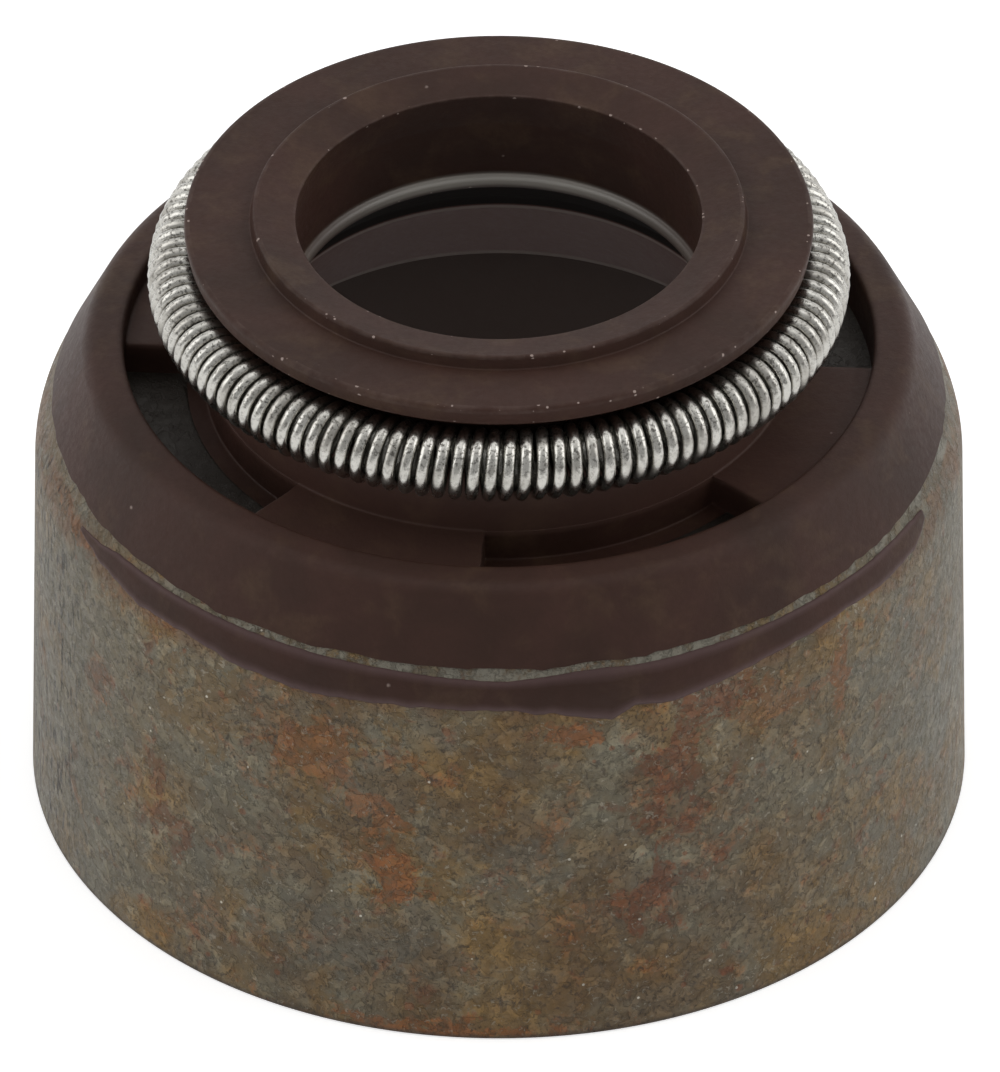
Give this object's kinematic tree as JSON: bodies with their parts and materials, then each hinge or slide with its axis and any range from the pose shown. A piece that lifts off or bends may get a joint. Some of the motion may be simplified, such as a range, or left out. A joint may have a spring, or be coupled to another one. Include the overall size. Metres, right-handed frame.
{
  "type": "valve stem seal",
  "caption": "Metal-cased valve stem seal: a bonded brown rubber body with a stem bore, a spring groove and grip ribs, and a steel garter spring round its neck.",
  "frame": {"origin": "on the seal's axis, in the plane of the metal case's bottom edge", "axes": "+Z along the axis, from the case's open bottom towards the head; -Y is the side that the picture shows"},
  "size_m": [0.015, 0.015, 0.0109],
  "materials": {
    "phosphated_steel": "matt grey-olive phosphate coat with patches of orange-brown rust",
    "brown_rubber": "dark brown moulded rubber, satin",
    "spring_wire": "bright drawn steel wire"
  },
  "bodies": {
    "root": {"metal_case": "phosphated_steel", "rubber_body": "brown_rubber", "garter_spring": "spring_wire"}
  },
  "joints": []
}
